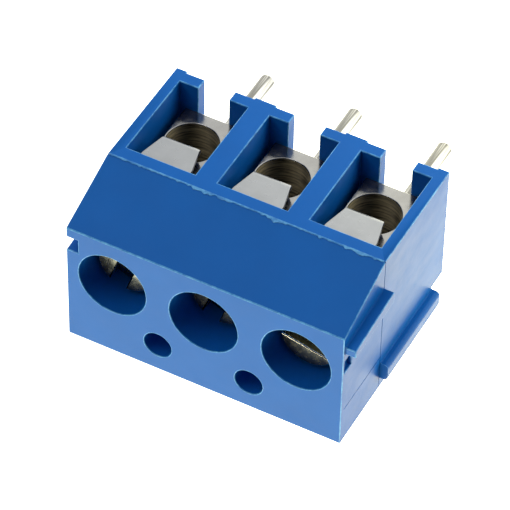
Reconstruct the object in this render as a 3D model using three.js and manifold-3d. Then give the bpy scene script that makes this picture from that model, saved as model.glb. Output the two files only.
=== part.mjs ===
// Three-pole screw terminal block with wire guards, for soldering to a printed circuit board.
// Millimetres, +Z up. X runs along the poles, the wire entries face -Y and the screws face +Z.
// The origin lies on the board seat, the flat underside behind the middle solder pin.
import * as THREE from 'three';
import { mergeVertices } from 'three/addons/utils/BufferGeometryUtils.js';
import Module from 'manifold-3d';

const wasm = await Module();
wasm.setup();

// Driving dimensions. Every FRONT, REAR and FROM_FRONT value is measured back from the front face.
const PITCH = 5;
const POLES = 3;
const WIDTH = PITCH * POLES;
const DEPTH = 8.95;
const HEIGHT = 10.95;
const PARTING = 6.85;            // height where the two mould halves meet, and the front slope starts
const SLOPE_RUN = 1.55;
const ORIGIN_FROM_FRONT = 6.1;
const REAR_STEP_START = 7.05;
const REAR_STEP_HEIGHT = 1.15;

const POCKET_WIDTH = 3.8;
const POCKET_FLOOR = 0.8;
const POCKET_ROOF = 6.1;
const POCKET_REAR = 6.95;
const PIN_SLOT_WIDTH = 1.7;      // lets the solder pin slide in from the front
const FLOOR_RELIEF = 0.12;       // the pocket floors stand this far above the board
const FLOOR_RELIEF_REAR = 5.2;

const WELL_DIAMETER = 3.7;
const WELL_FROM_FRONT = 4.3;
const WELL_SHELF = 6.45;         // the screw hole narrows below this height
const THREAD_HOLE_DIAMETER = 2.9;
const TEST_HOLE_DIAMETER = 1.5;
const TEST_HOLE_FROM_FRONT = 7.23;
const TEST_HOLE_FLOOR = 6.6;

const BLOCK_WIDTH = 2.95;
const BLOCK_FRONT = 1.5;
const BLOCK_REAR = 6.7;
const BLOCK_FLOOR = 0.95;
const BLOCK_TOP = 5.95;
const BLOCK_EDGE = 0.12;
const BORE_DIAMETER = 2.7;
const BORE_HEIGHT = 3;
const TAPPED_DIAMETER = 2.5;

const PIN_DIAMETER = 0.8;
const PIN_FROM_FRONT = 3.95;
const PIN_LENGTH = 5.05;         // below the board seat
const PIN_TIP_EDGE = 0.16;
const PIN_SOCKET_DEPTH = 0.4;    // how far the pin is pressed into its contact block
const PIN_SOCKET_GAP = 0.05;

const HEAD_DIAMETER = 3.05;
const HEAD_HEIGHT = 1.4;
const HEAD_TOP = 9.6;            // of a screw that isn't sunk
const HEAD_EDGE = 0.14;
const SHANK_DIAMETER = 2.2;
const SHANK_LENGTH = 3.8;
const SHANK_EDGE = 0.2;
const SLOT_WIDTH = 0.9;
const SLOT_DEPTH = 0.75;
// One row for each pole, from +X to -X: how far its screw is sunk, and its slot's angle from +X in degrees
const SCREW_SETTINGS = [
  { sunk: 0, slotAngle: 71 },
  { sunk: 0.28, slotAngle: 70 },
  { sunk: 0, slotAngle: 166.6 },
];

const LEAF = 0.22;               // thickness of the wire guard's sheet
const GUARD_FRONT = 0.6;
const GUARD_TOP = 5.85;
const GUARD_BOTTOM = 3.86;
const GUARD_BEND_RADIUS = 0.34;
const APRON_WIDTH = 2.75;
const APRON_WIDE_FROM = 5.5;     // the apron narrows from here down to the tongue's width
const TONGUE_WIDTH = 1.93;
const TONGUE_REAR = 6.1;
const TONGUE_GAP = 0.07;         // between the tongue's edges and the wire bore

const RIB_PROUD = 0.56;          // front interlock rib on the -X end, which leans back towards its top
const RIB_FRONT = 1.82;
const RIB_REAR = 2.5;
const RIB_TOP_FRONT = 2.22;
const RIB_TOP_REAR = 2.67;
const RIB_TOP = 10.85;
const RAIL_PROUD = 0.45;         // rear interlock rail on the -X end
const RAIL_FRONT = 7.12;
const RAIL_REAR = 8.2;
const RAIL_EDGE = 0.32;
const KEYWAY_GAP = 0.08;         // between a rail and the keyway that takes it
const KEYWAY_TOP_REAR = 3;
const PIT_FRONT = 3.15;          // shallow pit behind the rib, just under the top edge
const PIT_REAR = 4.05;
const PIT_FLOOR = 10.15;
const PIT_ROOF = 10.8;
const PIT_DEPTH = 0.3;

const ROUND_STEPS = 48;
const CURVE_STEPS = 6;
const CUT = 1;                   // how far a cutting shape runs past the face that it opens

const END = WIDTH / 2;
const yOf = fromFront => fromFront - ORIGIN_FROM_FRONT;
const poleX = pole => PITCH * ((POLES - 1) / 2 - pole);
const poles = [...Array(POLES).keys()];

// A closed three.js geometry as a solid that can be joined and cut
function solid(geometry) {
  const bare = geometry.clone();
  bare.deleteAttribute('normal');
  bare.deleteAttribute('uv');
  const merged = mergeVertices(bare, 1e-5);
  return new wasm.Manifold(new wasm.Mesh({
    numProp: 3,
    vertProperties: new Float32Array(merged.attributes.position.array),
    triVerts: new Uint32Array(merged.index.array),
  }));
}

function geometryOf(body) {
  const mesh = body.getMesh();
  const geometry = new THREE.BufferGeometry();
  geometry.setAttribute('position', new THREE.BufferAttribute(mesh.vertProperties, 3));
  geometry.setIndex(new THREE.BufferAttribute(mesh.triVerts, 1));
  geometry.computeVertexNormals();
  return geometry;
}

function box(x0, x1, y0, y1, z0, z1) {
  const geometry = new THREE.BoxGeometry(x1 - x0, y1 - y0, z1 - z0);
  geometry.translate((x0 + x1) / 2, (y0 + y1) / 2, (z0 + z1) / 2);
  return solid(geometry);
}

// A solid turned about the upright axis at (x, y); profile lists [radius, height] from the bottom up
function turned(profile, x, y) {
  const points = profile.map(([radius, height]) => new THREE.Vector2(radius, height));
  const geometry = new THREE.LatheGeometry(points, ROUND_STEPS);
  geometry.rotateX(Math.PI / 2);
  geometry.translate(x, y, 0);
  return solid(geometry);
}

function rod(diameter, x, y, z0, z1) {
  const r = diameter / 2;
  return turned([[0, z0], [r, z0], [r, z1], [0, z1]], x, y);
}

// A lying rod along Y
function lyingRod(diameter, x, z, y0, y1) {
  const geometry = new THREE.CylinderGeometry(diameter / 2, diameter / 2, y1 - y0, ROUND_STEPS);
  geometry.translate(x, (y0 + y1) / 2, z);
  return solid(geometry);
}

function extruded(shape, length) {
  return new THREE.ExtrudeGeometry(shape, { depth: length, bevelEnabled: false, curveSegments: CURVE_STEPS });
}

function outlineOf(points) {
  return new THREE.Shape(points.map(([u, v]) => new THREE.Vector2(u, v)));
}

// A shape drawn in Y and Z, pushed along X
function alongX(shape, x0, x1) {
  const geometry = extruded(shape, x1 - x0);
  geometry.rotateX(Math.PI / 2);
  geometry.rotateZ(Math.PI / 2);
  geometry.translate(x0, 0, 0);
  return solid(geometry);
}

// A shape drawn in X and Z, pushed along Y
function alongY(shape, y0, y1) {
  const geometry = extruded(shape, y1 - y0);
  geometry.rotateX(Math.PI / 2);
  geometry.translate(0, y1, 0);
  return solid(geometry);
}

// A shape drawn in X and Y, pushed along Z
function alongZ(shape, z0, z1) {
  const geometry = extruded(shape, z1 - z0);
  geometry.translate(0, 0, z0);
  return solid(geometry);
}

// The leaning rib of the front interlock, from x0 to x1
function frontRib(x0, x1) {
  return alongX(outlineOf([
    [yOf(RIB_FRONT), PARTING],
    [yOf(RIB_REAR), PARTING],
    [yOf(RIB_TOP_REAR), RIB_TOP],
    [yOf(RIB_TOP_FRONT), RIB_TOP],
  ]), x0, x1);
}

// The keyway that takes the rib of the next block; it is wider, and opens through the top face
function frontKeyway() {
  const frontLean = (RIB_TOP_FRONT - RIB_FRONT) / (RIB_TOP - PARTING);
  const openTop = HEIGHT + CUT;
  return alongX(outlineOf([
    [yOf(RIB_FRONT - KEYWAY_GAP), PARTING],
    [yOf(RIB_REAR + KEYWAY_GAP), PARTING],
    [yOf(KEYWAY_TOP_REAR), HEIGHT],
    [yOf(KEYWAY_TOP_REAR), openTop],
    [yOf(RIB_FRONT - KEYWAY_GAP + frontLean * (openTop - PARTING)), openTop],
  ]), END - RIB_PROUD - KEYWAY_GAP, END + CUT);
}

// A rail with two rounded outer edges, on the face at x = base and reaching to x = outer
function roundedRail(base, outer, y0, y1, z0, z1) {
  const inward = Math.sign(base - outer) * RAIL_EDGE;
  const shape = new THREE.Shape();
  shape.moveTo(base, y0);
  shape.lineTo(outer + inward, y0);
  shape.quadraticCurveTo(outer, y0, outer, y0 + RAIL_EDGE);
  shape.lineTo(outer, y1 - RAIL_EDGE);
  shape.quadraticCurveTo(outer, y1, outer + inward, y1);
  shape.lineTo(base, y1);
  shape.closePath();
  return alongZ(shape, z0, z1);
}

function poleCuts(x) {
  const halfPocket = POCKET_WIDTH / 2;
  const halfSlot = PIN_SLOT_WIDTH / 2;
  const front = yOf(0) - CUT;
  return [
    box(x - halfPocket, x + halfPocket, front, yOf(POCKET_REAR), POCKET_FLOOR, POCKET_ROOF),
    box(x - halfPocket, x + halfPocket, front, yOf(FLOOR_RELIEF_REAR), -CUT, FLOOR_RELIEF),
    box(x - halfSlot, x + halfSlot, front, yOf(PIN_FROM_FRONT), -CUT, POCKET_FLOOR + CUT),
    rod(PIN_SLOT_WIDTH, x, yOf(PIN_FROM_FRONT), -CUT, POCKET_FLOOR + CUT),
    rod(WELL_DIAMETER, x, yOf(WELL_FROM_FRONT), WELL_SHELF, HEIGHT + CUT),
    rod(THREAD_HOLE_DIAMETER, x, yOf(WELL_FROM_FRONT), POCKET_ROOF - CUT, WELL_SHELF + CUT),
  ];
}

function housing() {
  let body = alongX(outlineOf([
    [yOf(0), 0],
    [yOf(REAR_STEP_START), 0],
    [yOf(REAR_STEP_START), REAR_STEP_HEIGHT],
    [yOf(DEPTH), REAR_STEP_HEIGHT],
    [yOf(DEPTH), HEIGHT],
    [yOf(SLOPE_RUN), HEIGHT],
    [yOf(0), PARTING],
  ]), -END, END);
  body = body.add(frontRib(-END - RIB_PROUD, -END + CUT / 2));
  body = body.add(roundedRail(-END + CUT / 2, -END - RAIL_PROUD, yOf(RAIL_FRONT), yOf(RAIL_REAR),
    REAR_STEP_HEIGHT, PARTING));
  const cuts = poles.flatMap(pole => poleCuts(poleX(pole)));
  for (const x of [PITCH / 2, -PITCH / 2]) {
    cuts.push(rod(TEST_HOLE_DIAMETER, x, yOf(TEST_HOLE_FROM_FRONT), TEST_HOLE_FLOOR, HEIGHT + CUT));
  }
  cuts.push(frontKeyway());
  cuts.push(roundedRail(END + CUT, END - RAIL_PROUD - KEYWAY_GAP, yOf(RAIL_FRONT - KEYWAY_GAP),
    yOf(RAIL_REAR + KEYWAY_GAP), REAR_STEP_HEIGHT - CUT, PARTING));
  cuts.push(box(-END - CUT, -END + PIT_DEPTH, yOf(PIT_FRONT), yOf(PIT_REAR), PIT_FLOOR, PIT_ROOF));
  for (const cut of cuts) {
    body = body.subtract(cut);
  }
  return geometryOf(body);
}

// The pieces of one pole are drawn about x = 0, and placed by their mesh's position

function contactBlock() {
  const half = BLOCK_WIDTH / 2;
  let body = alongY(outlineOf([
    [-half + BLOCK_EDGE, BLOCK_FLOOR],
    [half - BLOCK_EDGE, BLOCK_FLOOR],
    [half, BLOCK_FLOOR + BLOCK_EDGE],
    [half, BLOCK_TOP - BLOCK_EDGE],
    [half - BLOCK_EDGE, BLOCK_TOP],
    [-half + BLOCK_EDGE, BLOCK_TOP],
    [-half, BLOCK_TOP - BLOCK_EDGE],
    [-half, BLOCK_FLOOR + BLOCK_EDGE],
  ]), yOf(BLOCK_FRONT), yOf(BLOCK_REAR));
  const socketTop = BLOCK_FLOOR + PIN_SOCKET_DEPTH + PIN_SOCKET_GAP;
  const cuts = [
    lyingRod(BORE_DIAMETER, 0, BORE_HEIGHT, yOf(BLOCK_FRONT) - CUT, yOf(BLOCK_REAR) + CUT),
    rod(TAPPED_DIAMETER, 0, yOf(WELL_FROM_FRONT), BORE_HEIGHT, BLOCK_TOP + CUT),
    rod(PIN_DIAMETER + 2 * PIN_SOCKET_GAP, 0, yOf(PIN_FROM_FRONT), BLOCK_FLOOR - CUT, socketTop),
  ];
  for (const cut of cuts) {
    body = body.subtract(cut);
  }
  return geometryOf(body);
}

function solderPin() {
  const r = PIN_DIAMETER / 2;
  return geometryOf(turned([
    [0, -PIN_LENGTH],
    [r - PIN_TIP_EDGE, -PIN_LENGTH],
    [r, -PIN_LENGTH + PIN_TIP_EDGE],
    [r, BLOCK_FLOOR + PIN_SOCKET_DEPTH],
    [0, BLOCK_FLOOR + PIN_SOCKET_DEPTH],
  ], 0, yOf(PIN_FROM_FRONT)));
}

// The screw is drawn with its slot along X, about its own axis
function clampScrew() {
  const head = HEAD_DIAMETER / 2;
  const shank = SHANK_DIAMETER / 2;
  const headBottom = HEAD_TOP - HEAD_HEIGHT;
  const tip = headBottom - SHANK_LENGTH;
  const blank = turned([
    [0, tip],
    [shank - SHANK_EDGE, tip],
    [shank, tip + SHANK_EDGE],
    [shank, headBottom],
    [head, headBottom],
    [head, HEAD_TOP - HEAD_EDGE],
    [head - HEAD_EDGE, HEAD_TOP],
    [0, HEAD_TOP],
  ], 0, 0);
  const slot = box(-HEAD_DIAMETER, HEAD_DIAMETER, -SLOT_WIDTH / 2, SLOT_WIDTH / 2,
    HEAD_TOP - SLOT_DEPTH, HEAD_TOP + CUT);
  return geometryOf(blank.subtract(slot));
}

// A sheet-metal angle: an apron that hangs in front of the contact block, bent back into a tongue in the wire bore
function wireGuard() {
  const inner = GUARD_BEND_RADIUS - LEAF;
  const bendY = yOf(GUARD_FRONT) + GUARD_BEND_RADIUS;
  const bendZ = GUARD_BOTTOM + GUARD_BEND_RADIUS;
  const side = new THREE.Shape();
  side.moveTo(yOf(GUARD_FRONT), GUARD_TOP);
  side.lineTo(yOf(GUARD_FRONT), bendZ);
  side.absarc(bendY, bendZ, GUARD_BEND_RADIUS, Math.PI, 1.5 * Math.PI, false);
  side.lineTo(yOf(TONGUE_REAR), GUARD_BOTTOM);
  side.lineTo(yOf(TONGUE_REAR), GUARD_BOTTOM + LEAF);
  side.lineTo(bendY, GUARD_BOTTOM + LEAF);
  side.absarc(bendY, bendZ, inner, 1.5 * Math.PI, Math.PI, true);
  side.lineTo(yOf(GUARD_FRONT) + LEAF, GUARD_TOP);
  side.closePath();
  const mask = outlineOf([
    [-TONGUE_WIDTH / 2, GUARD_BOTTOM - CUT],
    [TONGUE_WIDTH / 2, GUARD_BOTTOM - CUT],
    [TONGUE_WIDTH / 2, GUARD_BOTTOM],
    [APRON_WIDTH / 2, APRON_WIDE_FROM],
    [APRON_WIDTH / 2, GUARD_TOP + CUT],
    [-APRON_WIDTH / 2, GUARD_TOP + CUT],
    [-APRON_WIDTH / 2, APRON_WIDE_FROM],
    [-TONGUE_WIDTH / 2, GUARD_BOTTOM],
  ]);
  const insideBlock = yOf(BLOCK_FRONT) - TONGUE_GAP;
  const room = box(-END, END, yOf(0), insideBlock, 0, HEIGHT)
    .add(lyingRod(BORE_DIAMETER - 2 * TONGUE_GAP, 0, BORE_HEIGHT, insideBlock - CUT / 2, yOf(DEPTH)));
  return geometryOf(alongX(side, -END, END)
    .intersect(alongY(mask, yOf(0), yOf(DEPTH)))
    .intersect(room));
}

function plastic(color) {
  return new THREE.MeshStandardMaterial({ color, roughness: 0.38, metalness: 0 });
}

function metal(color, roughness) {
  return new THREE.MeshStandardMaterial({ color, roughness, metalness: 1 });
}

function part(name, geometry, material, x = 0, y = 0, z = 0) {
  const mesh = new THREE.Mesh(geometry, material);
  mesh.name = name;
  mesh.position.set(x, y, z);
  return mesh;
}

const terminal = new THREE.Group();
terminal.add(part('housing', housing(), plastic(0x1f5fae)));
for (const pole of poles) {
  const x = poleX(pole);
  const number = pole + 1;
  const { sunk, slotAngle } = SCREW_SETTINGS[pole];
  terminal.add(part(`contact_block_${number}`, contactBlock(), metal(0xc4c6c8, 0.28), x));
  terminal.add(part(`solder_pin_${number}`, solderPin(), metal(0xb9bcbf, 0.25), x));
  terminal.add(part(`wire_guard_${number}`, wireGuard(), metal(0xcdced0, 0.3), x));
  const screw = part(`clamp_screw_${number}`, clampScrew(), metal(0x9fa39a, 0.35), x, yOf(WELL_FROM_FRONT), -sunk);
  screw.rotation.z = THREE.MathUtils.degToRad(slotAngle);
  terminal.add(screw);
}

export default terminal;
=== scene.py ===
import math

import bmesh
import bpy
from mathutils import Matrix, Vector, noise
from mathutils.kdtree import KDTree


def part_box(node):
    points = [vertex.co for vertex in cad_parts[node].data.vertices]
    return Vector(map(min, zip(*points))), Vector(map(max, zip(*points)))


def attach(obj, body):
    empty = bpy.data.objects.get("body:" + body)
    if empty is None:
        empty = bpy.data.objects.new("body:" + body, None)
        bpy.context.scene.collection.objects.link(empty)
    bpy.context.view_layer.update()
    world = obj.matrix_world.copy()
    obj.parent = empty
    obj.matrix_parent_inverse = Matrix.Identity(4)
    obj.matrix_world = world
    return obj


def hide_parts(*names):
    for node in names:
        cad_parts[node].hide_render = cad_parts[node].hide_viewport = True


# A three-pole screw terminal block for a circuit board, lying in soft studio light.
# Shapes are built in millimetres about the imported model's own boxes, and written in metres.

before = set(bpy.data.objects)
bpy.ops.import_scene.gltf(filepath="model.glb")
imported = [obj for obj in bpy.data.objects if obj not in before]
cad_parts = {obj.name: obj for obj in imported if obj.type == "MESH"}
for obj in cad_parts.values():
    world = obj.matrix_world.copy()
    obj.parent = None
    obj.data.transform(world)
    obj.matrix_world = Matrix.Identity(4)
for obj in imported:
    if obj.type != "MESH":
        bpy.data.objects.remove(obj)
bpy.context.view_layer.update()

MM = 0.001
POLES = (1, 2, 3)
BODY = "terminal_body"


def node_box(node):
    low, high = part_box(node)
    return low / MM, high / MM


HOUSING_LOW, HOUSING_HIGH = node_box("housing")
END = HOUSING_HIGH.x                    # the row ends lie at x = END and x = -END
FRONT = HOUSING_LOW.y
REAR = HOUSING_HIGH.y
TOP = HOUSING_HIGH.z

# The housing's details, in millimetres; names with FRONT, REAR or STEP_START are measured from the front face
PARTING = 6.85                          # height where the mould halves meet
SLOPE_RUN = 1.55
FACE_SETBACK = 0.05                     # leaves room for the moulding flash inside the model's box
REAR_STEP_START = 7.05
REAR_STEP_HEIGHT = 1.15
POCKET_WIDTH = 3.8
POCKET_FLOOR = 0.8
POCKET_ROOF = 6.1
POCKET_REAR = 6.95
PIN_SLOT_WIDTH = 1.7
FLOOR_RELIEF = 0.12
FLOOR_RELIEF_REAR = 5.2
WELL_DIAMETER = 3.7
WELL_LIP = 0.28                         # depth of the slightly wider mouth of a well
WELL_STEP = 0.06                        # how much narrower the well is below that mouth
WELL_TAPER = 0.09                       # height over which it narrows
WELL_FROM_FRONT = 4.3
WELL_SHELF = 6.45
THREAD_HOLE_DIAMETER = 2.9
TEST_HOLE_DIAMETER = 1.5
TEST_HOLE_FROM_FRONT = 7.23
TEST_HOLE_FLOOR = 6.6
RIB_PROUD = -END - HOUSING_LOW.x
RIB_FRONT = 1.82
RIB_REAR = 2.5
RIB_TOP_FRONT = 2.22
RIB_TOP_REAR = 2.67
TOP_MARGIN = 0.12                       # the rib and the pit end this far below the top face
RIB_TOP = TOP - TOP_MARGIN
RAIL_PROUD = 0.45
RAIL_FRONT = 7.17
RAIL_REAR = 8.2
RAIL_EDGE = 0.25
KEYWAY_GAP = 0.08
KEYWAY_TOP_REAR = 3
PIT_FRONT = 3.15
PIT_REAR = 4.05
PIT_FLOOR = TOP - 0.85
PIT_ROOF = TOP - TOP_MARGIN
PIT_DEPTH = 0.22
SEAM_WIDTH = 0.05                       # hairline where two mould parts meet
SEAM_DEPTH = 0.04
UPRIGHT_SEAM_FROM_FRONT = 6.7
UPRIGHT_SEAM_TOP = TOP - 0.25
FLASH_WIDTH = 0.05                      # how far the flash usually creeps up the slope
FLASH_TONGUE = 0.2                      # and how far its widest tongues creep
FLASH_PROUD = 0.03
FLASH_ROOT = 0.12                       # how deep the flash is set into the housing
FLASH_BELOW = 0.02                      # how far the flash reaches below the parting line
FLASH_SWELLS = 0.9                      # how quickly the flash swells along the edge, per millimetre
FLASH_RAGS = 4.5                        # and how quickly its ragged edge varies
FLASH_QUIET = 0.12                      # swells weaker than this grow no tongue
FLASH_STATIONS = 260
HOUSING_EDGE = 0.055                    # width of the rounded moulded edges

BORE_DIAMETER = 2.7
BORE_HEIGHT = 3.0
TAPPED_DIAMETER = 2.6
BLOCK_EDGE = 0.06
BORE_WALL_MARGIN = 0.02                 # a face this close to the bore's wall belongs to the bore

PIN_EDGE = 0.16
PIN_WAIST = 0.012                       # the drawn wire is very slightly uneven
PIN_STEPS = 48

SLOT_WIDTH = 0.9
SLOT_DEPTH = 0.75
HEAD_HEIGHT = 1.4
HEAD_EDGE = 0.07
THREAD_PITCH = 0.5
THREAD_DEPTH = 0.27
THREAD_FLANK = 1.25                     # above 1, the flanks reach full height early and leave a flat crest
THREAD_LEVELS = 10                      # rings of vertices in each turn of the thread
SHANK_DIAMETER = 2.36
SHANK_IN_HEAD = 0.2                     # overlap that joins the shank to the head
TIP_TAPER = 0.3                         # length of the shank's tapered tip
TIP_NARROWING = 0.25
SCREW_STEPS = 72
SCREW_ANGLES = {1: 71, 2: 70, 3: 166.6}  # each slot's direction from +X, in degrees

LEAF = 0.22
BEND_RADIUS = 0.34
GUARD_EDGE = 0.03
APRON_NARROWS_BELOW = 5.5
TONGUE_WIDTH = 1.93
TONGUE_WIDTH_IN_BORE = 1.54
THROAT_GAP = 0.1                        # the tongue has narrowed this far in front of the contact block

CUT = 1.0                               # how far a cutting shape runs past the face that it opens
ROUND_STEPS = 96

FLOOR_GAP = 0.02                        # between the pin tips and the floor

PLASTIC_IOR = 1.165                     # keeps the gloss for grazing angles, as on satin plastic
EDGE_IOR = 1.35                         # the paler edges, rubbed and with a painted highlight, shine more

# Base colours: the darker and the lighter end of each material's patches
BLUE = ((0.003, 0.092, 0.365, 1), (0.003, 0.101, 0.400, 1))
# the housing edges' paler blue: rub marks, and a painted highlight along every outer edge
RUBBED_AND_HIGHLIT_BLUE = ((0.008, 0.15, 0.46, 1), (0.10, 0.36, 0.68, 1))
BLOCK_TIN = ((0.18, 0.18, 0.184, 1), (0.225, 0.225, 0.23, 1))
GUARD_TIN = ((0.23, 0.24, 0.255, 1), (0.265, 0.275, 0.295, 1))
WIRE_TIN = ((0.12, 0.12, 0.12, 1), (0.66, 0.66, 0.66, 1))
# the bore's brass: dark partly as tarnish and partly as painted shade inside the bore
TARNISH_AND_SHADE_BRASS = ((0.05, 0.043, 0.028, 1), (0.30, 0.25, 0.155, 1))
ZINC = ((0.12, 0.125, 0.105, 1), (0.25, 0.25, 0.21, 1))
# the screw heads' pale cream edges: rub marks, and a painted glint along the head and slot edges
RUBBED_AND_GLINTING_ZINC = ((0.72, 0.68, 0.55, 1), (0.95, 0.92, 0.80, 1))
FLOOR_GREY = ((0.24, 0.24, 0.24, 1), (0.28, 0.28, 0.28, 1))
WHITE = (1.0, 1.0, 1.0, 1)

# Light; GLOW, ROOM and LIGHT values are the brightness of a surface, where 1 is white
GLOW_AROUND = 1.15
GLOW_SPOT = 4.7
GLOW_CENTRE = (-12.0, 8.0)              # where the floor is brightest, in millimetres
GLOW_REACH = 34.0                       # how far from there it has faded, in millimetres
ROOM_LIGHT = 0.08
ROOM_SEEN = 1.0
BACK_LIGHT = 6.5
FRONT_LIGHT = 3.2
GLINT_LIGHT = 26.0
SOFTBOX_DISTANCE = 0.45                 # in metres
WARM = (1.0, 0.98, 0.78)
SPOT_WARM = (1.0, 0.95, 0.62)


# ---------------------------------------------------------------- mesh tools, in millimetres

def back_from_front(distance):
    return FRONT + distance


def middle(low, high):
    """The centre of a box in X and Y."""
    return (low.x + high.x) / 2, (low.y + high.y) / 2


def object_from(mesh_builder, name):
    bmesh.ops.recalc_face_normals(mesh_builder, faces=mesh_builder.faces)
    mesh = bpy.data.meshes.new(name)
    mesh_builder.to_mesh(mesh)
    mesh_builder.free()
    made = bpy.data.objects.new(name, mesh)
    bpy.context.scene.collection.objects.link(made)
    return made


def prism(outline, axis, start, end, name="cutter"):
    """A closed solid: an outline in the two other axes, in X, Y, Z order, pushed along axis."""
    along = "XYZ".index(axis)
    across = [i for i in range(3) if i != along]
    builder = bmesh.new()
    rings = []
    for level in (start, end):
        ring = []
        for point in outline:
            position = [0.0, 0.0, 0.0]
            position[along] = level
            position[across[0]], position[across[1]] = point
            ring.append(builder.verts.new(position))
        rings.append(ring)
    builder.faces.new(rings[0])
    builder.faces.new(list(reversed(rings[1])))
    count = len(outline)
    for i in range(count):
        j = (i + 1) % count
        builder.faces.new((rings[0][i], rings[0][j], rings[1][j], rings[1][i]))
    return object_from(builder, name)


def block(x0, x1, y0, y1, z0, z1):
    return prism([(x0, y0), (x1, y0), (x1, y1), (x0, y1)], "Z", z0, z1)


def circle(u, v, diameter, steps=ROUND_STEPS):
    radius = diameter / 2
    turns = [2 * math.pi * i / steps for i in range(steps)]
    return [(u + radius * math.cos(t), v + radius * math.sin(t)) for t in turns]


def rod(diameter, x, y, z0, z1):
    return prism(circle(x, y, diameter), "Z", z0, z1)


def rings_to_solid(rings, name):
    """A closed solid skinned over rings of equal length, with a flat cap at each end."""
    builder = bmesh.new()
    loops = [[builder.verts.new(p) for p in ring] for ring in rings]
    count = len(loops[0])
    for lower, upper in zip(loops, loops[1:]):
        for i in range(count):
            j = (i + 1) % count
            builder.faces.new((lower[i], lower[j], upper[j], upper[i]))
    builder.faces.new(list(reversed(loops[0])))
    builder.faces.new(loops[-1])
    return object_from(builder, name)


def apply_modifiers(made):
    depsgraph = bpy.context.evaluated_depsgraph_get()
    result = bpy.data.meshes.new_from_object(
        made.evaluated_get(depsgraph), preserve_all_data_layers=True, depsgraph=depsgraph)
    made.modifiers.clear()
    made.data = result


def join_or_cut(made, others, operation):
    for other in others:
        modifier = made.modifiers.new(operation.lower(), "BOOLEAN")
        modifier.operation = operation
        modifier.solver = "EXACT"
        modifier.object = other
    apply_modifiers(made)
    for other in others:
        bpy.data.objects.remove(other)


def sharp_edge_samples(made, angle, spacing=0.1):
    """A tree of points along the sharp edges, and for each point whether its edge is an outer one."""
    builder = bmesh.new()
    builder.from_mesh(made.data)
    points, outer = [], []
    for edge in builder.edges:
        turn = edge.calc_face_angle_signed()
        if abs(turn) < math.radians(angle):
            continue
        start, end = (corner.co for corner in edge.verts)
        steps = max(1, round(edge.calc_length() / spacing))
        for i in range(steps):
            points.append(start.lerp(end, (i + 0.5) / steps))
            outer.append(turn > 0)
    builder.free()
    tree = KDTree(len(points))
    for i, point in enumerate(points):
        tree.insert(point, i)
    tree.balance()
    return tree, outer


def round_edges(made, width, segments=3, angle=35, edge_material=-1):
    """Rounds the sharp edges. A material above 0 goes on outer edges only, and -1 keeps each face's own."""
    tree, outer = sharp_edge_samples(made, angle)
    bevel = made.modifiers.new("edges", "BEVEL")
    bevel.width = width
    bevel.segments = segments
    bevel.limit_method = "ANGLE"
    bevel.angle_limit = math.radians(angle)
    bevel.use_clamp_overlap = False
    bevel.material = edge_material
    apply_modifiers(made)
    if edge_material > 0:
        for face in made.data.polygons:
            if face.material_index == edge_material and not outer[tree.find(face.center)[1]]:
                face.material_index = 0


def shade(made, angle=40):
    """Smooth shading over rounded edges and curves, with the large faces kept flat."""
    made.data.shade_smooth()
    made.data.set_sharp_from_angle(angle=math.radians(angle))
    weighted = made.modifiers.new("flat faces", "WEIGHTED_NORMAL")
    weighted.weight = 90
    weighted.keep_sharp = True
    apply_modifiers(made)


def paint(made, *materials):
    """Gives a piece these materials and no others, since a cut may bring in its cutter's."""
    made.data.materials.clear()
    for material in materials:
        made.data.materials.append(material)


def place(made, name, body, node, centre=(0, 0, 0)):
    """Brings a finished piece from millimetres to metres, and lets it stand for its node.

    The mesh is drawn about centre, so its object coordinates start there."""
    made.name = name
    made.data.name = name
    made.data.transform(Matrix.Scale(MM, 4) @ Matrix.Translation(-Vector(centre)))
    made.location = Vector(centre) * MM
    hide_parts(node)
    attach(made, body)


# ---------------------------------------------------------------- material tools

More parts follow.
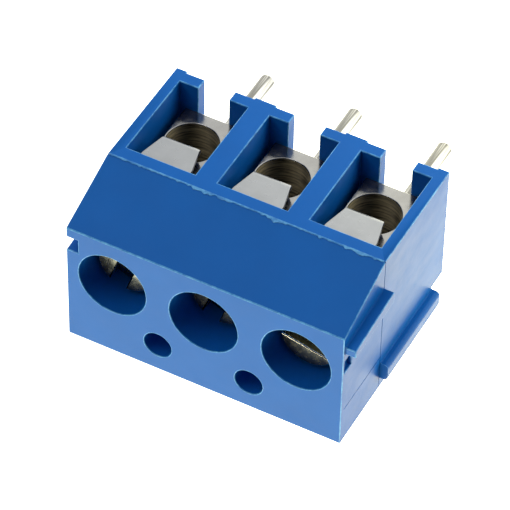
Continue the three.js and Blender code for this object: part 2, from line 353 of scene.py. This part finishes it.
class Nodes:
    """A small helper to wire one material's shader."""

    def __init__(self, name):
        self.material = bpy.data.materials.new(name)
        self.material.use_nodes = True
        self.tree = self.material.node_tree
        self.shader = self.tree.nodes["Principled BSDF"]
        self.place = self.tree.nodes.new("ShaderNodeTexCoord").outputs["Object"]

    def node(self, kind, **inputs):
        made = self.tree.nodes.new(kind)
        for key, value in inputs.items():
            self.feed(made, key.replace("_", " "), value)
        return made

    def feed(self, node, socket, value):
        if isinstance(value, bpy.types.NodeSocket):
            self.tree.links.new(value, node.inputs[socket])
        else:
            node.inputs[socket].default_value = value

    def stretched(self, x, y, z):
        """Object coordinates in millimetres, scaled by x, y and z."""
        mapping = self.node("ShaderNodeMapping", Vector=self.place)
        mapping.inputs["Scale"].default_value = (x / MM, y / MM, z / MM)
        return mapping.outputs["Vector"]

    def noise(self, scale, detail=3.0, roughness=0.55, vector=None):
        if vector is None:
            vector = self.stretched(1, 1, 1)
        made = self.node("ShaderNodeTexNoise", Vector=vector, Scale=scale, Detail=detail, Roughness=roughness)
        return made.outputs["Fac"]

    def ramp(self, value, low, high, start=0.3, end=0.7):
        made = self.node("ShaderNodeValToRGB", Fac=value)
        made.color_ramp.elements[0].position = start
        made.color_ramp.elements[1].position = end
        made.color_ramp.elements[0].color = low
        made.color_ramp.elements[1].color = high
        return made.outputs["Color"]

    def span(self, value, low, high, start=0.3, end=0.7):
        made = self.node("ShaderNodeMapRange", Value=value)
        made.inputs["From Min"].default_value = start
        made.inputs["From Max"].default_value = end
        made.inputs["To Min"].default_value = low
        made.inputs["To Max"].default_value = high
        return made.outputs["Result"]

    def set_colour(self, value, colours, start=0.3, end=0.7):
        dark, light = colours
        self.feed(self.shader, "Base Color", self.ramp(value, dark, light, start, end))

    def make_metal(self):
        self.shader.inputs["Metallic"].default_value = 1.0

    def set_roughness(self, value, low, high):
        self.feed(self.shader, "Roughness", self.span(value, low, high))

    def set_bump(self, height, distance, strength=1.0, normal=None):
        self.feed(self.shader, "Normal", self.bump(height, distance, strength, normal))

    def bump(self, height, distance, strength=1.0, normal=None):
        made = self.node("ShaderNodeBump", Height=height, Distance=distance * MM, Strength=strength)
        if normal is not None:
            self.feed(made, "Normal", normal)
        return made.outputs["Normal"]


def housing_plastic(name):
    """Blue moulded plastic: nearly even, with faint flow clouds, a fine mould grain and a few rub marks."""
    nodes = Nodes(name)
    clouds = nodes.noise(0.35, detail=5)
    nodes.set_colour(clouds, BLUE)
    rubs = nodes.noise(0.9, detail=3, vector=nodes.stretched(1, 1.6, 0.7))
    nodes.set_roughness(rubs, 0.32, 0.40)
    grain = nodes.noise(6.5, detail=2)
    waves = nodes.noise(0.8, detail=2)
    soft = nodes.bump(waves, 0.03, 0.35)
    nodes.set_bump(grain, 0.003, 0.6, soft)
    nodes.shader.inputs["IOR"].default_value = PLASTIC_IOR
    return nodes.material


def worn_and_highlit_edges(name):
    """The same plastic on its thin edges: a paler blue that is a painted highlight along the edges, and
    rubbed and chipped here and there.
    """
    nodes = Nodes(name)
    chips_and_highlights = nodes.noise(2.2, detail=4, roughness=0.7)
    # the paler ramp paints a highlight on the edges as well as rub marks
    nodes.set_colour(chips_and_highlights, RUBBED_AND_HIGHLIT_BLUE, 0.38, 0.66)
    nodes.set_roughness(chips_and_highlights, 0.3, 0.5)
    nodes.set_bump(nodes.noise(9, detail=3), 0.012, 0.8)
    nodes.shader.inputs["IOR"].default_value = EDGE_IOR
    return nodes.material


def tin_plate(name, colours, roughness, grain_scale):
    """Tin plate on the contact blocks and the guards: slightly cloudy, with a directional grain."""
    nodes = Nodes(name)
    clouds = nodes.noise(0.9, detail=5)
    nodes.set_colour(clouds, colours)
    smears = nodes.noise(1.6, detail=4, vector=nodes.stretched(1, 0.5, 1.3))
    nodes.set_roughness(smears, roughness - 0.06, roughness + 0.1)
    grain = nodes.noise(1.0, detail=3, vector=nodes.stretched(*grain_scale))
    nodes.set_bump(grain, 0.004, 0.5)
    nodes.make_metal()
    return nodes.material


def drawn_wire(name):
    """Tinned wire, with the grey and bright streaks that drawing leaves along it."""
    nodes = Nodes(name)
    streaks = nodes.noise(1.0, detail=2, vector=nodes.stretched(3.4, 3.4, 0.12))
    nodes.set_colour(streaks, WIRE_TIN, 0.44, 0.56)
    nodes.set_roughness(nodes.noise(1.5), 0.2, 0.35)
    nodes.set_bump(streaks, 0.01, 0.4)
    nodes.make_metal()
    return nodes.material


def drilled_brass(name):
    """The inside of a wire bore: brass darkened partly by tarnish and partly as painted shade, with the
    drill's rings around Y.
    """
    nodes = Nodes(name)
    rings = nodes.noise(1.0, detail=3, roughness=0.7, vector=nodes.stretched(0.5, 6.0, 0.5))
    # the dark end of the ramp is partly painted shade inside the bore
    nodes.set_colour(rings, TARNISH_AND_SHADE_BRASS, 0.35, 0.65)
    nodes.set_roughness(rings, 0.5, 0.72)
    nodes.set_bump(rings, 0.03, 1.0)
    around = nodes.node("ShaderNodeTangent")
    around.direction_type = "RADIAL"
    around.axis = "Y"
    nodes.feed(nodes.shader, "Tangent", around.outputs["Tangent"])
    nodes.shader.inputs["Anisotropic"].default_value = 0.95
    nodes.shader.inputs["Anisotropic Rotation"].default_value = 0.25
    nodes.make_metal()
    return nodes.material


def zinc_screw(name, colours, roughness):
    """Zinc-plated steel with turning rings on the head, drawn about the screw's own axis."""
    nodes = Nodes(name)
    patches = nodes.noise(0.8, detail=3)
    nodes.set_colour(patches, colours)
    rings = nodes.node("ShaderNodeTexWave", Vector=nodes.stretched(1, 1, 1), Scale=3.2, Distortion=0.6)
    rings.wave_type = "RINGS"
    rings.rings_direction = "Z"
    stains = nodes.noise(2.5, detail=3)
    nodes.set_roughness(stains, roughness, roughness + 0.14)
    nodes.set_bump(rings.outputs["Fac"], 0.004, 0.3)
    nodes.make_metal()
    return nodes.material


# ---------------------------------------------------------------- the housing

def housing_blank():
    face = back_from_front(FACE_SETBACK)
    profile = [
        (face, 0),
        (back_from_front(REAR_STEP_START), 0),
        (back_from_front(REAR_STEP_START), REAR_STEP_HEIGHT),
        (REAR, REAR_STEP_HEIGHT),
        (REAR, TOP),
        (back_from_front(SLOPE_RUN), TOP),
        (face, PARTING),
    ]
    return prism(profile, "X", -END, END, "housing_shell")


def rib(x0, x1):
    outline = [
        (back_from_front(RIB_FRONT), PARTING),
        (back_from_front(RIB_REAR), PARTING),
        (back_from_front(RIB_TOP_REAR), RIB_TOP),
        (back_from_front(RIB_TOP_FRONT), RIB_TOP),
    ]
    return prism(outline, "X", x0, x1)


def rib_keyway():
    lean = (RIB_TOP_FRONT - RIB_FRONT) / (RIB_TOP - PARTING)
    front = back_from_front(RIB_FRONT - KEYWAY_GAP)
    open_top = TOP + CUT
    outline = [
        (front, PARTING),
        (back_from_front(RIB_REAR + KEYWAY_GAP), PARTING),
        (back_from_front(KEYWAY_TOP_REAR), TOP),
        (back_from_front(KEYWAY_TOP_REAR), open_top),
        (front + lean * (open_top - PARTING), open_top),
    ]
    return prism(outline, "X", END - RIB_PROUD - KEYWAY_GAP, END + CUT)


def rounded_rail(base, outer, y0, y1, z0, z1):
    """A rail on the face x = base that reaches x = outer, with two rounded outer edges."""
    inward = math.copysign(RAIL_EDGE, base - outer)
    steps = 5
    quarter = []
    for i in range(steps + 1):
        t = math.pi / 2 * i / steps
        quarter.append((outer + inward * (1 - math.cos(t)), RAIL_EDGE * (1 - math.sin(t))))
    front = [(x, y0 + back) for x, back in reversed(quarter)]
    rear = [(x, y1 - back) for x, back in quarter]
    return prism([(base, y0), *front, *rear, (base, y1)], "Z", z0, z1)


def well_cutter(x, y):
    """A screw well, whose wall narrows slightly below its mouth."""
    mouth, wall = WELL_DIAMETER, WELL_DIAMETER - 2 * WELL_STEP
    levels = [
        (WELL_SHELF, wall),
        (TOP - WELL_LIP - WELL_TAPER, wall),
        (TOP - WELL_LIP, mouth),
        (TOP + CUT, mouth),
    ]
    rings = [[(u, v, z) for u, v in circle(x, y, diameter)] for z, diameter in levels]
    return rings_to_solid(rings, "well")


def pole_cuts(x):
    left, right = x - POCKET_WIDTH / 2, x + POCKET_WIDTH / 2
    half_slot = PIN_SLOT_WIDTH / 2
    front = FRONT - CUT
    well = back_from_front(WELL_FROM_FRONT)
    pin = middle(*node_box("solder_pin_2"))[1]
    return [
        block(left, right, front, back_from_front(POCKET_REAR), POCKET_FLOOR, POCKET_ROOF),
        block(left, right, front, back_from_front(FLOOR_RELIEF_REAR), -CUT, FLOOR_RELIEF),
        block(x - half_slot, x + half_slot, front, pin, -CUT, POCKET_FLOOR + CUT / 2),
        rod(PIN_SLOT_WIDTH, x, pin, -CUT, POCKET_FLOOR + CUT / 3),
        well_cutter(x, well),
        rod(THREAD_HOLE_DIAMETER, x, well, POCKET_ROOF - CUT / 2, WELL_SHELF + CUT),
    ]


def seams():
    """Hairlines on both row ends and on the rear face, where the mould's parts met."""
    half = SEAM_WIDTH / 2
    low, high = PARTING - half, PARTING + half
    upright = back_from_front(UPRIGHT_SEAM_FROM_FRONT)
    left, right = -END - CUT, END + CUT
    front, rear = FRONT - CUT, REAR + CUT
    return [
        block(left, -END + SEAM_DEPTH, front, rear, low, high),
        block(left, -END + SEAM_DEPTH, upright - half, upright + half, PARTING, UPRIGHT_SEAM_TOP),
        block(left, right, REAR - SEAM_DEPTH, rear, low, high),
        block(END - SEAM_DEPTH, right, front, rear, low, high),
    ]


def flash():
    """The thin uneven skin along the slope's lower edge, where plastic crept between the mould halves."""
    lean = SLOPE_RUN / (TOP - PARTING)
    face = back_from_front(FACE_SETBACK)
    rings = []
    for i in range(FLASH_STATIONS + 1):
        x = (2 * i / FLASH_STATIONS - 1) * (END - 1.5 * HOUSING_EDGE)
        uneven = noise.noise(Vector((x * FLASH_SWELLS, 3.1, 0.4)))
        ragged = noise.noise(Vector((x * FLASH_RAGS, 9.7, 2.2)))
        tongue = max(0.0, uneven + 0.5 * ragged - FLASH_QUIET)
        width = FLASH_WIDTH * (1 + 0.6 * ragged) + FLASH_TONGUE * tongue
        proud = FLASH_PROUD * (1 + 0.4 * ragged)
        low, high = PARTING - FLASH_BELOW + 0.015 * ragged, PARTING + width
        rings.append([
            (x, face + FLASH_ROOT, low - 0.04),
            (x, face - proud, low),
            (x, face - proud + lean * width, high),
            (x, face + FLASH_ROOT + lean * width, high + 0.03),
        ])
    return rings_to_solid(rings, "flash")


def build_housing():
    shell = housing_blank()
    rail = rounded_rail(-END + CUT / 2, -END - RAIL_PROUD, back_from_front(RAIL_FRONT),
                        back_from_front(RAIL_REAR), REAR_STEP_HEIGHT, PARTING)
    join_or_cut(shell, [rib(-END - RIB_PROUD, -END + CUT / 2), rail], "UNION")
    centres = [middle(*node_box(f"contact_block_{pole}"))[0] for pole in POLES]
    cuts = [cut for x in centres for cut in pole_cuts(x)]
    hole_y = back_from_front(TEST_HOLE_FROM_FRONT)
    for one, other in zip(centres, centres[1:]):
        cuts.append(rod(TEST_HOLE_DIAMETER, (one + other) / 2, hole_y, TEST_HOLE_FLOOR, TOP + CUT))
    cuts.append(rib_keyway())
    cuts.append(rounded_rail(END + CUT, END - RAIL_PROUD - KEYWAY_GAP, back_from_front(REAR_STEP_START),
                             back_from_front(RAIL_REAR + KEYWAY_GAP), REAR_STEP_HEIGHT - CUT, PARTING))
    cuts.append(block(-END - CUT, -END + PIT_DEPTH, back_from_front(PIT_FRONT), back_from_front(PIT_REAR),
                      PIT_FLOOR, PIT_ROOF))
    join_or_cut(shell, cuts, "DIFFERENCE")
    materials = (housing_plastic("blue_plastic"), worn_and_highlit_edges("blue_plastic_edges"))
    paint(shell, *materials)
    # the outer edges take the paler edge material: a painted highlight and rub marks
    round_edges(shell, HOUSING_EDGE, edge_material=1)
    skin = flash()
    paint(skin, *materials)
    # the flash takes the paler edge material too, a painted highlight along the slope's lower edge
    for face in skin.data.polygons:
        face.material_index = 1
    join_or_cut(shell, seams(), "DIFFERENCE")
    join_or_cut(shell, [skin], "UNION")
    shade(shell)
    place(shell, "housing_shell", BODY, "housing")


# ---------------------------------------------------------------- the metal pieces

def build_contact_block(pole, outside, inside):
    """A tinned brass block with a wire bore along Y and a tapped hole from the top down into the bore."""
    low, high = node_box(f"contact_block_{pole}")
    x, y = middle(low, high)
    made = block(low.x, high.x, low.y, high.y, low.z, high.z)
    bore = prism(circle(x, BORE_HEIGHT, BORE_DIAMETER), "Y", low.y - CUT, high.y + CUT)
    join_or_cut(made, [bore], "DIFFERENCE")
    paint(made, outside, inside)
    reach = BORE_DIAMETER / 2 + BORE_WALL_MARGIN
    for face in made.data.polygons:
        out = math.hypot(face.center.x - x, face.center.z - BORE_HEIGHT)
        if abs(face.normal.y) < 0.5 and out < reach:
            face.material_index = 1
    round_edges(made, BLOCK_EDGE, edge_material=0)
    tapped = rod(TAPPED_DIAMETER, x, back_from_front(WELL_FROM_FRONT), BORE_HEIGHT, high.z + CUT)
    join_or_cut(made, [tapped], "DIFFERENCE")
    shade(made)
    place(made, f"contact_block_shape_{pole}", BODY, f"contact_block_{pole}",
          (x, y, BORE_HEIGHT))


def build_pin(pole, material):
    """A tinned wire with a rounded tip."""
    low, high = node_box(f"solder_pin_{pole}")
    x, y = middle(low, high)
    radius = (high.x - low.x) / 2
    tip_steps = 6
    levels = []
    for i in range(tip_steps + 1):
        t = math.pi / 2 * i / tip_steps
        levels.append((low.z + PIN_EDGE * (1 - math.cos(t)), radius - PIN_EDGE * (1 - math.sin(t))))
    shaft_steps = 24
    start = low.z + PIN_EDGE
    for i in range(1, shaft_steps + 1):
        z = start + (high.z - start) * i / shaft_steps
        uneven = noise.noise(Vector((x, 4.2, z * 0.9)))
        levels.append((z, radius - PIN_WAIST * (0.5 + 0.5 * uneven)))
    rings = [[(u, v, z) for u, v in circle(x, y, 2 * r, PIN_STEPS)] for z, r in levels]
    made = rings_to_solid(rings, "pin")
    paint(made, material)
    shade(made)
    place(made, f"solder_pin_shape_{pole}", BODY, f"solder_pin_{pole}", (x, y, 0))


def thread_radius(z, turn):
    """The shank's radius at height z and at a share of a turn: a V thread with a narrow flat crest."""
    phase = (z / THREAD_PITCH - turn) % 1.0
    ridge = 1 - abs(2 * phase - 1)
    return SHANK_DIAMETER / 2 - THREAD_DEPTH * (1 - min(1.0, THREAD_FLANK * ridge))


def threaded_shank(x, y, bottom, top):
    """The shank with its thread, tapered at the tip."""
    rings = []
    levels = round((top - bottom) / THREAD_PITCH * THREAD_LEVELS)
    for i in range(levels + 1):
        z = bottom + (top - bottom) * i / levels
        narrowing = TIP_NARROWING * max(0.0, 1 - (z - bottom) / TIP_TAPER)
        widest = SHANK_DIAMETER / 2 - narrowing
        ring = []
        for k in range(SCREW_STEPS):
            turn = k / SCREW_STEPS
            r = min(thread_radius(z, turn), widest)
            ring.append((x + r * math.cos(2 * math.pi * turn), y + r * math.sin(2 * math.pi * turn), z))
        rings.append(ring)
    return rings_to_solid(rings, "shank")


def slotted_head(x, y, bottom, top, radius, slot_angle):
    """The cylindrical head, with a slot across it that points slot_angle degrees from +X."""
    head = rod(2 * radius, x, y, bottom, top)
    half = SLOT_WIDTH / 2
    floor = top - SLOT_DEPTH
    outline = [(-half, floor), (half, floor), (half, top + CUT), (-half, top + CUT)]
    slot = prism(outline, "Y", -radius - CUT, radius + CUT)
    turned = math.radians(slot_angle - 90)
    slot.data.transform(Matrix.Translation((x, y, 0)) @ Matrix.Rotation(turned, 4, "Z"))
    join_or_cut(head, [slot], "DIFFERENCE")
    return head


def build_screw(pole, material, edges):
    low, high = node_box(f"clamp_screw_{pole}")
    x, y = middle(low, high)
    head_bottom = high.z - HEAD_HEIGHT
    shank = threaded_shank(x, y, low.z, head_bottom + SHANK_IN_HEAD)
    paint(shank, material)
    head = slotted_head(x, y, head_bottom, high.z, (high.x - low.x) / 2, SCREW_ANGLES[pole])
    paint(head, material, edges)
    # the outer edges of the head and the slot's rims take the pale cream zinc, a painted glint as well as rub
    # marks
    round_edges(head, HEAD_EDGE, segments=4, angle=50, edge_material=1)
    join_or_cut(head, [shank], "UNION")
    shade(head, 70)
    place(head, f"clamp_screw_shape_{pole}", f"screw_{pole}", f"clamp_screw_{pole}",
          (x, y, high.z))


def build_guard(pole, material):
    """A strip that hangs in front of the contact block, rounds a bend and runs back into the wire bore."""
    low, high = node_box(f"wire_guard_{pole}")
    x = middle(low, high)[0]
    half_leaf = LEAF / 2
    middle_radius = BEND_RADIUS - half_leaf
    apron_y = low.y + half_leaf
    tongue_z = low.z + half_leaf
    bend_y, bend_z = low.y + BEND_RADIUS, low.z + BEND_RADIUS
    wide, narrow = (high.x - low.x) / 2, TONGUE_WIDTH / 2
    stations = []

    def width_at(z):
        share = (APRON_NARROWS_BELOW - z) / (APRON_NARROWS_BELOW - low.z)
        return wide + (narrow - wide) * max(0.0, share)

    apron_steps = 16
    for i in range(apron_steps + 1):
        z = high.z + (bend_z - high.z) * i / apron_steps
        stations.append((apron_y, z, -1.0, 0.0, width_at(z)))
    bend_steps = 8
    for i in range(1, bend_steps + 1):
        t = math.pi / 2 * i / bend_steps
        outward = (-math.cos(t), -math.sin(t))
        z = bend_z + middle_radius * outward[1]
        stations.append((bend_y + middle_radius * outward[0], z, *outward, width_at(z)))
    in_bore = TONGUE_WIDTH_IN_BORE / 2
    tongue_steps, neck_steps = 12, 3
    throat = node_box(f"contact_block_{pole}")[0].y - THROAT_GAP
    for i in range(1, tongue_steps + 1):
        if i <= neck_steps:
            y = bend_y + (throat - bend_y) * i / neck_steps
        else:
            y = throat + (high.y - throat) * (i - neck_steps) / (tongue_steps - neck_steps)
        share = min(1.0, (y - bend_y) / (throat - bend_y))
        stations.append((y, tongue_z, 0.0, -1.0, narrow + (in_bore - narrow) * share ** 2))
    rings = []
    for y, z, out_y, out_z, half_width in stations:
        rings.append([
            (x - half_width, y + half_leaf * out_y, z + half_leaf * out_z),
            (x + half_width, y + half_leaf * out_y, z + half_leaf * out_z),
            (x + half_width, y - half_leaf * out_y, z - half_leaf * out_z),
            (x - half_width, y - half_leaf * out_y, z - half_leaf * out_z),
        ])
    made = rings_to_solid(rings, "guard")
    paint(made, material)
    round_edges(made, GUARD_EDGE, segments=2, angle=50)
    shade(made)
    place(made, f"wire_guard_shape_{pole}", f"guard_{pole}", f"wire_guard_{pole}",
          (x, low.y, low.z))


# ---------------------------------------------------------------- stage, light and camera

CAMERA_AZIMUTH = -23.65
CAMERA_ELEVATION = 37.91
CAMERA_ROLL = -143.23
CAMERA_DISTANCE = 0.182
CAMERA_LENS = 264.0
CAMERA_TARGET = Vector((0.10, -1.44, 5.51)) * MM


def build_camera():
    data = bpy.data.cameras.new("camera")
    data.lens = CAMERA_LENS
    data.sensor_width = 36
    data.clip_start = 0.01
    data.clip_end = 10
    camera = bpy.data.objects.new("camera", data)
    azimuth, elevation = math.radians(CAMERA_AZIMUTH), math.radians(CAMERA_ELEVATION)
    back = Vector((math.sin(azimuth) * math.cos(elevation), -math.cos(azimuth) * math.cos(elevation),
                   math.sin(elevation)))
    upright = back.to_track_quat("Z", "Y")
    camera.rotation_mode = "QUATERNION"
    camera.rotation_quaternion = upright @ Matrix.Rotation(math.radians(CAMERA_ROLL), 3, "Z").to_quaternion()
    camera.location = CAMERA_TARGET + back * CAMERA_DISTANCE
    bpy.context.scene.collection.objects.link(camera)
    bpy.context.scene.camera = camera


def build_floor():
    """A pale light table under the pins, with a brighter, warmer spot behind the end with the rib."""
    size = 600.0
    level = node_box("solder_pin_2")[0].z - FLOOR_GAP
    floor = block(-size, size, -size, size, level - 1, level)
    floor.name = "floor"
    floor.data.transform(Matrix.Scale(MM, 4))
    nodes = Nodes("pale_floor")
    nodes.set_colour(nodes.noise(0.05), FLOOR_GREY)
    nodes.shader.inputs["Roughness"].default_value = 0.6
    away = nodes.node("ShaderNodeVectorMath", Vector=nodes.stretched(1, 1, 1))
    away.operation = "DISTANCE"
    away.inputs[1].default_value = (*GLOW_CENTRE, level)
    distance = away.outputs["Value"]
    nodes.feed(nodes.shader, "Emission Strength", nodes.span(distance, GLOW_SPOT, GLOW_AROUND, 0, GLOW_REACH))
    share = nodes.span(distance, 0, 1, 0, GLOW_REACH)
    nodes.feed(nodes.shader, "Emission Color", nodes.ramp(share, (*SPOT_WARM, 1), WHITE, 0, 1))
    paint(floor, nodes.material)


def softbox(name, direction, size, radiance, color=(1, 1, 1)):
    """A square softbox that faces the object from a direction; radiance is its surface's brightness."""
    data = bpy.data.lights.new(name, "AREA")
    data.shape = "SQUARE"
    data.size = size
    data.energy = radiance * math.pi * size ** 2
    data.color = color
    light = bpy.data.objects.new(name, data)
    toward = Vector(direction).normalized()
    light.location = toward * SOFTBOX_DISTANCE
    light.rotation_euler = toward.to_track_quat("Z", "Y").to_euler()
    light.visible_camera = False
    bpy.context.scene.collection.objects.link(light)


def build_light():
    """A dim room that is pale where the camera sees it, and three softboxes."""
    world = bpy.data.worlds.new("studio")
    world.use_nodes = True
    tree = world.node_tree
    background = tree.nodes["Background"]
    background.inputs["Color"].default_value = WHITE
    strength = tree.nodes.new("ShaderNodeMapRange")
    strength.inputs["To Min"].default_value = ROOM_LIGHT
    strength.inputs["To Max"].default_value = ROOM_SEEN
    ray = tree.nodes.new("ShaderNodeLightPath")
    tree.links.new(ray.outputs["Is Camera Ray"], strength.inputs["Value"])
    tree.links.new(strength.outputs["Result"], background.inputs["Strength"])
    bpy.context.scene.world = world
    softbox("back_softbox", (0.14, 0.73, 0.66), 0.55, BACK_LIGHT, WARM)
    softbox("front_softbox", (0.35, -0.9, 0.28), 0.25, FRONT_LIGHT)
    softbox("glint_softbox", (0.316, -0.33, 0.89), 0.05, GLINT_LIGHT, WARM)


# ---------------------------------------------------------------- the whole object

build_camera()
build_floor()
build_light()
bpy.context.scene.view_settings.view_transform = "Standard"

build_housing()
block_tin = tin_plate("tin_on_brass", BLOCK_TIN, 0.16, (1.5, 1.5, 14))
guard_tin = tin_plate("tin_on_sheet", GUARD_TIN, 0.3, (14, 2, 2))
pin_tin = drawn_wire("tin_on_wire")
bore_brass = drilled_brass("bore_brass")
screw_zinc = zinc_screw("screw_zinc", ZINC, 0.18)
# pale cream zinc for the screw edges: rub marks and a painted glint
rubbed_and_glinting_zinc = zinc_screw("rubbed_and_glinting_zinc", RUBBED_AND_GLINTING_ZINC, 0.12)
for pole in POLES:
    build_contact_block(pole, block_tin, bore_brass)
    build_pin(pole, pin_tin)
    build_screw(pole, screw_zinc, rubbed_and_glinting_zinc)
    build_guard(pole, guard_tin)
